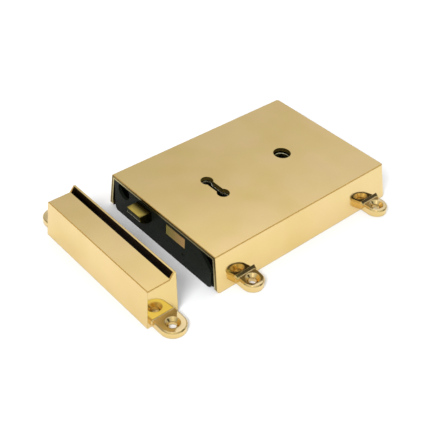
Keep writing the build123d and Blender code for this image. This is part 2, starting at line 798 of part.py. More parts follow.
# The keep: a cast box that the bolts enter from the lock's side, under a raised lip for the latch
with BuildPart() as keep:
    lip_back_x = keep_back_x - keep_back_lean
    outer_levels = [keep_level(0, 0, keep_back_x), keep_level(keep_lip_height, 0, lip_back_x)]
    loft(sections=outer_levels, ruled=True)
    outside_x = keep_front_x - keep_depth
    with BuildSketch(Plane.XZ):
        with BuildLine():
            Polyline(
                (outside_x, keep_height),
                (keep_slot_x, keep_height),
                (keep_lip_x, keep_lip_height),
                (keep_lip_x, 2 * keep_lip_height),
                (outside_x, 2 * keep_lip_height),
                close=True,
            )
        make_face()
    extrude(amount=keep_length, both=True, mode=Mode.SUBTRACT)
    plate = keep.faces().filter_by(Axis.Z).sort_by(Axis.X)[0]
    chamfer(plate.edges().sort_by(Axis.X)[:-1], keep_edge)
    lip_top = keep.faces().filter_by(Axis.Z).sort_by(Axis.Z)[-1]
    chamfer(lip_top.edges().sort_by(Axis.X)[-1], keep_lip_edge)
    hollow_levels = [
        keep_level(0, keep_wall, keep_lip_x),
        keep_level(keep_under, keep_wall, keep_lip_x),
    ]
    loft(sections=hollow_levels, ruled=True, mode=Mode.SUBTRACT)
    mouth_x = keep_back_x + keep_wall
    mouth_top = keep_lip_height - keep_lip_drop
    mouth_levels = [keep_level(0, keep_wall, mouth_x), keep_level(mouth_top, keep_wall, mouth_x)]
    loft(sections=mouth_levels, ruled=True, mode=Mode.SUBTRACT)
    slot_half = keep_foot_half - keep_inward(keep_lip_height) - keep_slot_end_wall
    with BuildSketch(Plane.XY.offset(mouth_top)):
        with Locations(((keep_slot_x + keep_lip_x) / 2, keep_shift)):
            SlotOverall(2 * slot_half, keep_slot, rotation=90)
    extrude(amount=keep_lip_height, mode=Mode.SUBTRACT)
    keep_lug_places = []
    for out in (-1, 1):
        wall_y = keep_shift + out * (keep_foot_half - keep_inward(keep_lug_thickness))
        hole_y = keep_shift + out * keep_lug_y
        outline = lug_outline(keep_lug_x, wall_y, hole_y, keep_lug_radius, keep_lug_fillet)
        add(cast_lug(outline, keep_lug_thickness))
        keep_lug_places.append((keep_lug_x, hole_y, keep_lug_thickness))
    with Locations(*keep_lug_places):
        CounterSinkHole(screw_hole_radius, countersink_radius, counter_sink_angle=90)
keep.part.label = "keep"
export_step(keep.part, "parts/keep.step")
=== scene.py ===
import json
from math import cos, radians, sin

import bpy
import numpy as np
from mathutils import Matrix, Vector


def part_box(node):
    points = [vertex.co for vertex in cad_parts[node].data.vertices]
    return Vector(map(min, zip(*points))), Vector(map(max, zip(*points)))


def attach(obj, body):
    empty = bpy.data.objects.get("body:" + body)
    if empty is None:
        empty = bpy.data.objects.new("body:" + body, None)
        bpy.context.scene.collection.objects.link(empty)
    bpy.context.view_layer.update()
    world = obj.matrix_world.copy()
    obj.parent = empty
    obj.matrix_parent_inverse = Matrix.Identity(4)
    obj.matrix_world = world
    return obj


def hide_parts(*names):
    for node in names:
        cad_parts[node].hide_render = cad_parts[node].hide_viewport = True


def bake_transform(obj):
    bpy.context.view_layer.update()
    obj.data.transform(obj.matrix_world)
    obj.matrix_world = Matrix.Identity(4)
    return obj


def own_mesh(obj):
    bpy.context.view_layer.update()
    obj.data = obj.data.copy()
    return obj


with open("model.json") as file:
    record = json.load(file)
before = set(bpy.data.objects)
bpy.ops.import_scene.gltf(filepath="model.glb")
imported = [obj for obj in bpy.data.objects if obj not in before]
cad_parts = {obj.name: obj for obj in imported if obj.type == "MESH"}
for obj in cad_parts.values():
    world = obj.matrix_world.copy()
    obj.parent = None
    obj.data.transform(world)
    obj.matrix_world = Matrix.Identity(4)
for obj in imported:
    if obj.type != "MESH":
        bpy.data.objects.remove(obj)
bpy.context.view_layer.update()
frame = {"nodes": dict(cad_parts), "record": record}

# Camera: the photograph's own view of the lock, worked out from the corners of the cover and keep
photo_width = 436
focal_pixels = 838.0
sensor_width = 36.0
camera_azimuth = radians(-43.35)
camera_elevation = radians(40.12)
camera_roll = radians(3.37)
camera_distance = 0.585
camera_target = Vector((-0.0344, -0.00145, 0.0))

# The studio that the brass mirrors: pale screens and darker gaps, left and right as the camera sees them.
# Each has the way toward it, as azimuth from +X and elevation in degrees, the angles round that way where it
# is whole and where it has faded out, and its light's colour and strength. It lies over those before it.
room_light = ("#FBFDFF", 0.56)
studio = {
    "ceiling": (0, 90, 10, 80, "#FDFDFF", 0.51),
    "screen behind the lock": (46, 50, 12, 44, "#FEFCFF", 0.8),
    "top of the screen behind": (40, 70, 20, 36, "#FDFDFF", 1.21),
    "wall behind the lock": (65, 20, 5, 30, "#FFFDF8", 0.62),
    "screen above the camera": (227, 52, 14, 46, "#FFFEFA", 0.86),
    "middle of the screen above": (227, 50, 4, 9, "#FFFCF5", 1.6),
    "screen on the right": (-55, 51, 5, 15, "#FCFCFF", 0.84),
    "gap behind the right screen": (-28, 54, 4, 12, "#FFFFFA", 0.22),
    "gap under the right screen": (-50, 28, 9, 15, "#FFF5EB", 0.06),
    "yellow card in that gap": (-57, 41, 3, 7, "#F0FFD2", 1.55),
    "gap on the left": (139, 32, 8, 22, "#FFFCF9", 0.4),
}
lamp_place = Vector((-1.6, -0.8, 1.75))
lamp_side = 0.9
lamp_watts = 45.0

# The floor, and its own glow: weak by the lock, where the shadow has to show, and strong far from it
floor_half = 4.0
floor_drop = 0.0001
glow_near = 0.2
glow_far = 1.6
glow_weak = 0.03
glow_strong = 0.7

# Places on the castings, the case and the bolts, in metres
plate_thickness = 0.003
plate_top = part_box("lock_cover")[1].z
plate_under = plate_top - plate_thickness
front_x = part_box("lock_case")[0].x
case_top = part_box("lock_case")[1].z
latch_low, latch_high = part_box("latch_head")
latch_middle_y = (latch_low.y + latch_high.y) / 2
latch_face_low = 0.0197
lug_top = 0.0053
keep_lug_top = 0.0046
rim_inner_half = 0.0511
rim_depth = 0.003
key_x = -0.0375
key_half_spread = 0.0084
key_half_width = 0.0045
key_half_length = 0.0129
case_key_radius = 0.0033
case_key_half_neck = 0.0018
spindle_middle = (0.026, 0.0, plate_under)
spindle_hole_radius = 0.0063

# Thin layers and margins that pick out a face, the width of the keyhole's place rubbed bright, and the width
# of the latch's painted glint, in metres
rim_skin = 0.00015
end_skin = 0.0002
tip_skin = 0.00012
lug_skin = 0.0001
plate_margin = 0.00004
hole_margin = 0.0008
beyond_case = 0.0003
chamfer_low = plate_under + 0.001
lug_edges_top = lug_top + 0.0009
case_plate_middle = case_top - 0.0008
latch_glint_width = 0.00045
key_rubbed_width = 0.0004

# How far up a face looks, as the Z of its normal: the middle and half of a chamfer's, and a flat's least
chamfer_upright = 0.6
chamfer_upright_half = 0.34
flat_upright = 0.9

# The rounding that the light shows on the castings' edges, sharper above than on the lugs
sharp_edge = 0.0003
soft_edge = 0.0009

# The painted shade on the latch, a dark painted reflection of the rim over it, from faint to full along X and
# aside of its middle line, and the dead bolt's end, a painted reflection from olive to tan along Y
shade_faint_x = -0.0922
shade_full_x = -0.0876
shade_faint_aside = 0.0045
shade_full_aside = 0.0072
dead_olive_y = -0.007
dead_tan_y = -0.023

# The castings' insides: the middle and half of their width at the foot, the lengthwise limits there, how
# far each wall leans in for each unit of height, and the height that ends them
cover_lean = 0.1408
cover_inside = {
    "middle_y": 0.0, "half": 0.0561, "lean": cover_lean, "top": 0.0269,
    "low_x": -0.0835, "low_lean": 0.0, "high_x": 0.0806, "high_lean": 0.2817,
}
keep_inside = {
    "middle_y": 0.002, "half": 0.0536, "lean": 0.067, "top": 0.0269,
    "low_x": -0.1345, "low_lean": 0.067, "high_x": -0.1123, "high_lean": 0.0,
}
keep_slot = {"middle_x": -0.1156, "half_x": 0.00142, "middle_y": 0.002, "half_y": 0.0519, "low_z": 0.0262}

# The painted highlight and shade bands across the open rim and round the follower's hub, from the first to the
# last
rim_painted_light_bands = (
    (0.08, "#4A3A14"), (0.2, "#D6CB98"), (0.38, "#B5A566"),
    (0.5, "#6A541F"), (0.72, "#5C4716"), (0.95, "#D8BC78"),
)
hub_painted_light_bands = (
    (0.1, "#1A1808"), (0.3, "#2A270E"), (0.36, "#E6E2C0"), (0.42, "#221F0A"),
    (0.66, "#2E2A12"), (0.72, "#E8E4C4"), (0.8, "#26230E"), (1.0, "#3A3618"),
)
hub_inner = 0.0034
hub_outer = 0.0066


def linear(hex_colour):
    """An sRGB hex colour as linear RGBA."""
    channels = [int(hex_colour[i:i + 2], 16) / 255 for i in (1, 3, 5)]
    return [c / 12.92 if c <= 0.04045 else ((c + 0.055) / 1.055) ** 2.4 for c in channels] + [1.0]


def light_colour(hex_colour, strength):
    """The linear RGBA of a light of this colour and strength."""
    return [channel * strength for channel in linear(hex_colour)[:3]] + [1.0]


def patches(size_mm):
    """The scale at which a noise has patches of about this size in millimetres."""
    return 1000.0 / size_mm


def add_node(tree, kind, out=0, **given):
    """Adds a node with its settings and links, and gives one of its outputs, or the node where out is None.

    A name in small letters is a setting. A name with a capital is a socket, with _ for each space in it, and
    i with a number is a socket by its place. A socket takes a value or another node's output.
    """
    made = tree.nodes.new("ShaderNode" + kind)
    for name, value in given.items():
        if name[0] == "i" and name[1:].isdigit():
            socket = made.inputs[int(name[1:])]
        elif name[0].isupper():
            socket = made.inputs[name.replace("_", " ")]
        else:
            setattr(made, name, value)
            continue
        if isinstance(value, bpy.types.NodeSocket):
            tree.links.new(value, socket)
        else:
            socket.default_value = value
    return made if out is None else made.outputs[out]


def place_camera():
    """The camera looks at its target from the photograph's side, rolled about its own line of sight."""
    back = Vector((
        sin(camera_azimuth) * cos(camera_elevation),
        -cos(camera_azimuth) * cos(camera_elevation),
        sin(camera_elevation),
    ))
    right = Vector((cos(camera_azimuth), sin(camera_azimuth), 0.0))
    up = back.cross(right)
    rolled_right = right * cos(camera_roll) + up * sin(camera_roll)
    rolled_up = up * cos(camera_roll) - right * sin(camera_roll)
    lens = bpy.data.cameras.new("photograph view")
    lens.sensor_width = sensor_width
    lens.lens = focal_pixels / photo_width * sensor_width
    lens.clip_start = 0.01
    lens.clip_end = 50.0
    camera = bpy.data.objects.new("camera", lens)
    bpy.context.scene.collection.objects.link(camera)
    turn = Matrix((rolled_right, rolled_up, back)).transposed().to_4x4()
    camera.matrix_world = Matrix.Translation(camera_target + back * camera_distance) @ turn
    bpy.context.scene.camera = camera


def light_studio():
    """A pale studio: screens and gaps round the lock, and one soft lamp far off on the keep's side.

    The metal mirrors the screens and gaps, and the camera itself sees plain white behind the lock.
    """
    world = bpy.data.worlds.new("pale studio")
    bpy.context.scene.world = world
    world.use_nodes = True
    tree = world.node_tree
    tree.nodes.clear()
    toward = add_node(tree, "TexCoord", "Generated")
    sky = light_colour(*room_light)
    for azimuth, elevation, whole, gone, hex_colour, strength in studio.values():
        level = cos(radians(elevation))
        aim = (level * cos(radians(azimuth)), level * sin(radians(azimuth)), sin(radians(elevation)))
        near = add_node(tree, "VectorMath", "Value", operation="DOT_PRODUCT", i0=toward, i1=aim)
        screen = add_node(
            tree, "MapRange", interpolation_type="SMOOTHSTEP",
            Value=near, From_Min=cos(radians(gone)), From_Max=cos(radians(whole)),
        )
        light = light_colour(hex_colour, strength)
        sky = add_node(tree, "Mix", 2, data_type="RGBA", i0=screen, i6=sky, i7=light)
    around = add_node(tree, "Background", Color=sky, Strength=1.0)
    white = add_node(tree, "Background", Color=linear("#FFFFFF"), Strength=1.0)
    camera_ray = add_node(tree, "LightPath", "Is Camera Ray")
    seen = add_node(tree, "MixShader", i0=camera_ray, i1=around, i2=white)
    add_node(tree, "OutputWorld", None, Surface=seen)

    softbox = bpy.data.lights.new("softbox", "AREA")
    softbox.shape = "RECTANGLE"
    softbox.size = lamp_side
    softbox.size_y = lamp_side
    softbox.energy = lamp_watts
    lamp = bpy.data.objects.new("softbox", softbox)
    lamp.visible_glossy = False
    bpy.context.scene.collection.objects.link(lamp)
    aim = lamp_place.to_track_quat("Z", "Y").to_matrix().to_4x4()
    lamp.matrix_world = Matrix.Translation(lamp_place) @ aim


def lay_floor():
    """A wide plain floor under the lock, with a glow of its own that grows away from the lock.

    The glow shows only to the camera and in gloss, so it lights nothing and the shadow stays by the lock.
    """
    corners = [(x * floor_half, y * floor_half, -floor_drop) for x, y in ((-1, -1), (1, -1), (1, 1), (-1, 1))]
    mesh = bpy.data.meshes.new("floor")
    mesh.from_pydata(corners, [], [(0, 1, 2, 3)])
    floor = bpy.data.objects.new("floor", mesh)
    bpy.context.scene.collection.objects.link(floor)
    paper, tree = new_material("white paper sweep")
    rays = add_node(tree, "LightPath", None).outputs
    direct = add_node(tree, "Math", operation="MAXIMUM", i0=rays["Is Camera Ray"], i1=rays["Is Glossy Ray"])
    direct = add_node(tree, "Math", operation="MAXIMUM", i0=direct, i1=rays["Is Transmission Ray"])
    place = add_node(tree, "TexCoord", "Object")
    away = add_node(tree, "VectorMath", "Value", operation="LENGTH", i0=place)
    lift = add_node(
        tree, "MapRange",
        Value=away, From_Min=glow_near, From_Max=glow_far, To_Min=glow_weak, To_Max=glow_strong,
    )
    strength = add_node(tree, "Math", operation="MULTIPLY", i0=direct, i1=lift)
    glow = add_node(tree, "Emission", Color=linear("#FFFFFF"), Strength=strength)
    sheet = add_node(tree, "BsdfDiffuse", Color=linear("#EFF0F2"))
    lit_sheet = add_node(tree, "AddShader", i0=sheet, i1=glow)
    add_node(tree, "OutputMaterial", None, Surface=lit_sheet)
    mesh.materials.append(paper)


def new_material(name):
    """A material with its tree emptied, ready for a shader."""
    made = bpy.data.materials.new(name)
    made.use_nodes = True
    made.node_tree.nodes.clear()
    return made, made.node_tree


def set_bands(ramp, bands):
    """Gives a colour ramp its bands, each with its place and colour, from the first to the last."""
    stops = ramp.color_ramp.elements
    for stop, (position, hex_colour) in zip(stops, (bands[0], bands[-1])):
        stop.position = position
        stop.color = linear(hex_colour)
    for position, hex_colour in bands[1:-1]:
        stops.new(position).color = linear(hex_colour)


def layered(tree, colour, layers):
    """A colour with others laid over it in turn, each where its mask is 1."""
    for mask, over in layers:
        colour = add_node(tree, "Mix", 2, data_type="RGBA", i0=mask, i6=colour, i7=over)
    return colour


def where_all(tree, *tests):
    """1 where every test holds.

    A test is a value with LESS_THAN or GREATER_THAN and a limit, or with COMPARE, a middle and a half width.
    """
    held = None
    for value, operation, *limits in tests:
        sockets = {f"i{number}": limit for number, limit in enumerate(limits, start=1)}
        passed = add_node(tree, "Math", operation=operation, i0=value, **sockets)
        held = passed if held is None else add_node(tree, "Math", operation="MULTIPLY", i0=held, i1=passed)
    return held


def edge_wear_and_painted_shade(tree, radius, low, high):
    """A mask that is 1 along outer and inner edges: where a rounded normal leaves the true one."""
    rounded = add_node(tree, "Bevel", samples=6, Radius=radius)
    flat = add_node(tree, "NewGeometry", "Normal")
    agree = add_node(tree, "VectorMath", "Value", operation="DOT_PRODUCT", i0=rounded, i1=flat)
    return add_node(
        tree, "MapRange", interpolation_type="SMOOTHSTEP", Value=agree, From_Min=high, From_Max=low
    )


def hollow(tree, x, y, z, inside):
    """1 on the inner faces of a casting whose walls lean in as they rise."""
    across = add_node(tree, "Math", operation="SUBTRACT", i0=y, i1=inside["middle_y"])
    across = add_node(tree, "Math", operation="ABSOLUTE", i0=across)
    side, low, high = (
        add_node(tree, "Math", operation="MULTIPLY_ADD", i0=z, i1=lean, i2=value)
        for value, lean in ((across, inside["lean"]), (x, -inside["low_lean"]), (x, inside["high_lean"]))
    )
    return where_all(
        tree,
        (side, "LESS_THAN", inside["half"]),
        (z, "LESS_THAN", inside["top"]),
        (low, "GREATER_THAN", inside["low_x"]),
        (high, "LESS_THAN", inside["high_x"]),
    )


def open_rim(tree, x, y, z):
    """Where the filed rim at the cover's open front is, and its painted highlight and shade bands from the
    inner edge outward.
    """
    rim = where_all(tree, (x, "COMPARE", front_x, rim_skin))
    above = add_node(tree, "Math", operation="SUBTRACT", i0=z, i1=plate_under)
    off_middle = add_node(tree, "Math", operation="ABSOLUTE", i0=y)
    beside = add_node(tree, "Math", operation="MULTIPLY_ADD", i0=z, i1=cover_lean, i2=off_middle)
    inner_foot = rim_inner_half + cover_lean * plate_under
    beside = add_node(tree, "Math", operation="SUBTRACT", i0=beside, i1=inner_foot)
    inset = add_node(tree, "Math", operation="MAXIMUM", i0=above, i1=beside)
    inset = add_node(tree, "MapRange", Value=inset, From_Max=rim_depth)
    lines = add_node(tree, "ValToRGB", None, i0=inset)
    set_bands(lines, rim_painted_light_bands)
    return rim, lines.outputs[0]


def cast_inside(tree, place, x, y, z, inside, slot):
    """Where the casting is as it came from the sand, and its dark skin.

    The grains are some 2.4 mm across, coarser than those of sand so that they show.
    """
    cast = hollow(tree, x, y, z, inside)
    if slot:
        slot_walls = where_all(
            tree,
            (x, "COMPARE", slot["middle_x"], slot["half_x"]),
            (y, "COMPARE", slot["middle_y"], slot["half_y"]),
            (z, "GREATER_THAN", slot["low_z"]),
        )
        cast = add_node(tree, "Math", operation="MAXIMUM", i0=cast, i1=slot_walls)
    grains = add_node(tree, "TexNoise", Vector=place, Scale=patches(2.38), Detail=4.0, Roughness=0.65)
    return cast, layered(tree, linear("#1F150A"), ((grains, linear("#43301A")),))


def bored_walls(tree, place, x, y, z):
    """1 on the walls of the cover's keyhole and spindle hole."""
    keyhole = where_all(tree, (x, "COMPARE", key_x, key_half_width), (y, "COMPARE", 0.0, key_half_length))
    apart = add_node(tree, "VectorMath", "Value", operation="DISTANCE", i0=place, i1=spindle_middle)
    drilled = where_all(tree, (apart, "LESS_THAN", spindle_hole_radius + hole_margin))
    holes = add_node(tree, "Math", operation="MAXIMUM", i0=keyhole, i1=drilled)
    plate_middle = (plate_under + plate_top) / 2
    within_plate = plate_thickness / 2 - plate_margin
    return where_all(tree, (z, "COMPARE", plate_middle, within_plate), (holes, "GREATER_THAN", 0.5))


def mopped_relief(tree, place, z, lug_flat):
    """The normal of a ground and mopped casting.

    Its edges are rounder low down on the lugs. It has waves of 33 mm, hollows of 10.5 mm on the lugs, and the
    mop's fine marks, 1.1 mm long and 0.12 mm wide, which are coarser than real ones so that they show.
    """
    low_down = where_all(tree, (z, "LESS_THAN", lug_edges_top))
    radius = add_node(tree, "MapRange", Value=low_down, To_Min=sharp_edge, To_Max=soft_edge)
    normal = add_node(tree, "Bevel", samples=8, Radius=radius)
    waves = add_node(tree, "TexNoise", Vector=place, Scale=patches(33.3), Detail=1.0, Roughness=0.4)
    hollows = add_node(tree, "TexNoise", Vector=place, Scale=patches(10.5), Detail=0.0)
    hollows = add_node(tree, "Math", operation="MULTIPLY", i0=lug_flat, i1=hollows)
    rub = add_node(tree, "Mapping", Vector=place, Scale=(1.0, 9.0, 9.0))
    scratches = add_node(tree, "TexNoise", Vector=rub, Scale=patches(1.11), Detail=2.0, Roughness=0.6)
    reliefs = ((waves, 0.05, 0.003), (hollows, 0.5, 0.001), (scratches, 0.015, 0.0003))
    for height, strength, distance in reliefs:
        normal = add_node(tree, "Bump", Strength=strength, Distance=distance, Height=height, Normal=normal)
    return normal


def polished_brass(name, inside, slot=None):
    """Sand-cast yellow brass, ground and mopped bright outside and left as it was cast inside.

    The outside mirrors the room through a slight haze, with slow waves left by the mop, and its edges are
    rounded, with a painted olive shade along them. The lugs were polished by hand and are less even, and their
    upper faces are painted paler, a painted sheen. The rim at the open front was only filed and carries
    painted bands of highlight and shade, the drilled holes are duller and painted darker as shade in them, and
    the inner faces are dark and rough.
    """
    made, tree = new_material(name)
    place = add_node(tree, "TexCoord", "Object")
    x, y, z = add_node(tree, "SeparateXYZ", None, i0=place).outputs
    true_normal = add_node(tree, "NewGeometry", "True Normal")
    upright = add_node(tree, "SeparateXYZ", "Z", i0=true_normal)

    # The edges, the chamfer round the plate and the upper faces of the lugs
    edges = edge_wear_and_painted_shade(tree, radius=0.0008, low=0.82, high=0.99)
    # The edges of the polished castings get a painted olive shade, the dark line that rounded polished edges
    # show
    edge_painted_shade = add_node(tree, "MapRange", Value=edges, To_Max=0.5)
    chamfer = where_all(
        tree, (upright, "COMPARE", chamfer_upright, chamfer_upright_half), (z, "GREATER_THAN", chamfer_low)
    )
    lug_middle = (keep_lug_top + lug_top) / 2
    lug_half = (lug_top - keep_lug_top) / 2 + lug_skin
    lug_flat = where_all(
        tree, (z, "COMPARE", lug_middle, lug_half), (upright, "GREATER_THAN", flat_upright)
    )
    # The lugs' upper faces are painted paler, a painted sheen over their dark reflections
    painted_lug_sheen = add_node(tree, "MapRange", Value=lug_flat, To_Max=0.45)
    rim, rim_painted_light = open_rim(tree, x, y, z)
    cast, skin = cast_inside(tree, place, x, y, z, inside, slot)
    bored = bored_walls(tree, place, x, y, z)

    # Clouds of two brasses some 48 mm across, with paler ones of 21 mm in them, under what covers them
    cloud = add_node(tree, "TexNoise", Vector=place, Scale=patches(47.6), Detail=2.0, Roughness=0.5)
    cloud = add_node(tree, "MapRange", Value=cloud, From_Min=0.35, From_Max=0.65)
    tint = add_node(tree, "TexNoise", Vector=place, Scale=patches(21.3), Detail=3.0, Roughness=0.55)
    tint = add_node(tree, "MapRange", Value=tint, From_Min=0.4, From_Max=0.7, To_Max=0.5)
    colour = layered(tree, linear("#E3C884"), (
        (cloud, linear("#EBD194")),
        (tint, linear("#E9CB96")),
        (edge_painted_shade, linear("#A08A48")),
        (chamfer, linear("#E8C070")),
        (painted_lug_sheen, linear("#DDCBA8")),
        (rim, rim_painted_light),
        (cast, skin),
        # The drilled walls are painted darker, a painted shade in the holes, besides being duller
        (bored, linear("#A08A44")),
    ))

    # The mop's haze in patches of 17 mm, and duller places over it
    haze = add_node(tree, "TexNoise", Vector=place, Scale=patches(16.7), Detail=3.0, Roughness=0.6)
    rough = add_node(tree, "MapRange", Value=haze, From_Min=0.3, From_Max=0.7, To_Min=0.05, To_Max=0.09)
    for mask, level in ((edges, 0.2), (chamfer, 0.6), (rim, 0.34), (cast, 0.6), (bored, 0.5)):
        duller = add_node(tree, "Math", operation="MULTIPLY", i0=mask, i1=level)
        rough = add_node(tree, "Math", operation="MAXIMUM", i0=rough, i1=duller)
    normal = mopped_relief(tree, place, z, lug_flat)
    shader = add_node(tree, "BsdfPrincipled", Base_Color=colour, Metallic=1.0, Roughness=rough, Normal=normal)
    add_node(tree, "OutputMaterial", None, Surface=shader)
    return made


def worked_metal(name, colours, edge, roughness, line_mm, stretch, bump, marks=None):
    """Bare metal: cloudy tarnish between two colours, lines along the way it was worked, and bright edges.

    The clouds are 18 mm across. line_mm is the length of a line, coarser than a real one so that it shows, and
    stretch says how many times shorter it is along each axis. edge has the colour of the edges and how much of
    it they take, and roughness the lowest and the highest value across the lines. marks adds the painted
    shade, reflections and glints of one kind of piece.
    """
    made, tree = new_material(name)
    place = add_node(tree, "TexCoord", "Object")
    cloud = add_node(tree, "TexNoise", Vector=place, Scale=patches(18.2), Detail=3.0, Roughness=0.55)
    cloud = add_node(tree, "MapRange", Value=cloud, From_Min=0.3, From_Max=0.7)
    bright, dull = colours
    edge_colour, edge_share = edge
    edges = edge_wear_and_painted_shade(tree, radius=0.0005, low=0.6, high=0.98)
    edges = add_node(tree, "MapRange", Value=edges, To_Max=edge_share)
    colour = layered(tree, linear(dull), ((cloud, linear(bright)), (edges, linear(edge_colour))))
    if marks:
        colour = marks(tree, place, colour)
    drawn = add_node(tree, "Mapping", Vector=place, Scale=stretch)
    lines = add_node(tree, "TexNoise", Vector=drawn, Scale=patches(line_mm), Detail=3.0, Roughness=0.6)
    smooth, coarse = roughness
    rough = add_node(tree, "MapRange", Value=lines, From_Min=0.3, From_Max=0.7, To_Min=smooth, To_Max=coarse)
    relief = add_node(tree, "Bump", Strength=bump, Distance=0.0002, Height=lines)
    shader = add_node(tree, "BsdfPrincipled", Base_Color=colour, Metallic=1.0, Roughness=rough, Normal=relief)
    add_node(tree, "OutputMaterial", None, Surface=shader)
    return made


def bolt_painted_shade_and_glints(tree, place, colour):
    """Painted shade and reflection on the two bolts: dark where they leave the case and on the latch's end,
    with a painted glint.

    The dead bolt's end is a painted reflection that goes from olive to tan along its width.
    """
    x, y, z = add_node(tree, "SeparateXYZ", None, i0=place).outputs

    # The painted shade deepens toward the case and away from the latch's middle line
    aside = add_node(tree, "Math", operation="SUBTRACT", i0=y, i1=latch_middle_y)
    aside = add_node(tree, "Math", operation="ABSOLUTE", i0=aside)
    from_case = add_node(
        tree, "MapRange", Value=x, From_Min=shade_faint_x, From_Max=shade_full_x, To_Max=0.94
    )
    from_middle = add_node(
        tree, "MapRange", Value=aside, From_Min=shade_faint_aside, From_Max=shade_full_aside, To_Max=0.8
    )
    out = where_all(tree, (x, "LESS_THAN", front_x - beyond_case))
    shade_depth = add_node(tree, "Math", operation="MAXIMUM", i0=from_case, i1=from_middle)
    latch_painted_shade = add_node(tree, "Math", operation="MULTIPLY", i0=out, i1=shade_depth)

    # The latch's end, painted dark as a painted reflection, with a painted glint along its lower edge, and the
    # dead bolt's end
    at_tip = (x, "LESS_THAN", latch_low.x + tip_skin)
    latch_end = where_all(tree, at_tip)
    rubbed_and_glint = where_all(tree, at_tip, (z, "LESS_THAN", latch_face_low + latch_glint_width))
    dead_end = where_all(tree, (x, "COMPARE", front_x, end_skin), (y, "LESS_THAN", 0.0))
    # The dead bolt's end gets a painted reflection, olive to tan along Y
    along = add_node(tree, "MapRange", Value=y, From_Min=dead_olive_y, From_Max=dead_tan_y)
    dead_end_painted_reflection = layered(tree, linear("#B5A552"), ((along, linear("#F0BE78")),))
    return layered(tree, colour, (
        (latch_painted_shade, linear("#3A3214")),
        (latch_end, linear("#3C3A18")),
        (rubbed_and_glint, linear("#F0ECC8")),
        (dead_end, dead_end_painted_reflection),
    ))


def hub_rings_painted_light(tree, place, colour):
    """Fine steps left by the lathe round the follower's hub, painted as bright glint lines between painted
    dark shade.
    """
    apart = add_node(tree, "VectorMath", "Value", operation="DISTANCE", i0=place, i1=spindle_middle)
    outward = add_node(tree, "MapRange", Value=apart, From_Min=hub_inner, From_Max=hub_outer)
    steps = add_node(tree, "ValToRGB", None, i0=outward)
    set_bands(steps, hub_painted_light_bands)
    near = where_all(tree, (apart, "LESS_THAN", hub_outer))
    return layered(tree, colour, ((near, steps.outputs[0]),))


def black_japan():
    """Black stoving enamel on pressed steel: glossy, faintly green, with a soft orange peel and rubbed edges.

    The edge of the keyhole is worn down to bare bright steel by the key. The peel's dimples are 1.4 mm
    across, and the dust on it lies in patches of 6.7 mm.
    """
    made, tree = new_material("black stoved enamel on steel")
    place = add_node(tree, "TexCoord", "Object")
    x, y, z = add_node(tree, "SeparateXYZ", None, i0=place).outputs
    cloud = add_node(tree, "TexNoise", Vector=place, Scale=patches(22.2), Detail=3.0, Roughness=0.5)
    edges = edge_wear_and_painted_shade(tree, radius=0.0004, low=0.6, high=0.97)
    edges = add_node(tree, "MapRange", Value=edges, To_Max=0.4)
    colour = layered(tree, linear("#10130E"), ((cloud, linear("#1C2019")), (edges, linear("#34372F"))))
    peel = add_node(tree, "TexNoise", Vector=place, Scale=patches(1.43), Detail=1.0, Roughness=0.4)
    dust = add_node(tree, "TexNoise", Vector=place, Scale=patches(6.67), Detail=4.0, Roughness=0.7)
    rough = add_node(tree, "MapRange", Value=dust, From_Min=0.3, From_Max=0.7, To_Min=0.22, To_Max=0.4)
    relief = add_node(tree, "Bump", Strength=0.12, Distance=0.0001, Height=peel)
    paint = add_node(
        tree, "BsdfPrincipled", Base_Color=colour, Roughness=rough, IOR=1.5,
        Specular_IOR_Level=0.05, Normal=relief,
    )
    bare = add_node(tree, "BsdfPrincipled", Base_Color=linear("#E4E4D4"), Metallic=1.0, Roughness=0.5)

    # How far a place lies outside the keyhole's outline: from its round ends, or from its neck between them
    along = add_node(tree, "Math", operation="ABSOLUTE", i0=y)
    across = add_node(tree, "Math", operation="SUBTRACT", i0=x, i1=key_x)
    across = add_node(tree, "Math", operation="ABSOLUTE", i0=across)
    past_end = add_node(tree, "Math", operation="SUBTRACT", i0=along, i1=key_half_spread)
    from_end = add_node(tree, "CombineXYZ", X=across, Y=past_end)
    from_end = add_node(tree, "VectorMath", "Value", operation="LENGTH", i0=from_end)
    round_end = add_node(tree, "Math", operation="SUBTRACT", i0=from_end, i1=case_key_radius)
    beyond = where_all(tree, (along, "GREATER_THAN", key_half_spread))
    neck = add_node(tree, "Math", operation="SUBTRACT", i0=across, i1=case_key_half_neck)
    neck = add_node(tree, "Math", operation="ADD", i0=neck, i1=beyond)
    outline = add_node(tree, "Math", operation="MINIMUM", i0=round_end, i1=neck)
    rubbed_and_glint = where_all(tree, (outline, "LESS_THAN", key_rubbed_width), (z, "GREATER_THAN", case_plate_middle))
    shader = add_node(tree, "MixShader", i0=rubbed_and_glint, i1=paint, i2=bare)
    add_node(tree, "OutputMaterial", None, Surface=shader)
    return made


def mesh_piece(name, points, faces, material, smooth=True):
    """A piece from arrays of points and faces, with its place in its mesh."""
    mesh = bpy.data.meshes.new(name)
    mesh.from_pydata([tuple(p) for p in points], [], [tuple(f) for f in faces])
    mesh.materials.append(material)
    mesh.polygons.foreach_set("use_smooth", [smooth] * len(mesh.polygons))
    mesh.update()
    piece = bpy.data.objects.new(name, mesh)
    bpy.context.scene.collection.objects.link(piece)
    return piece


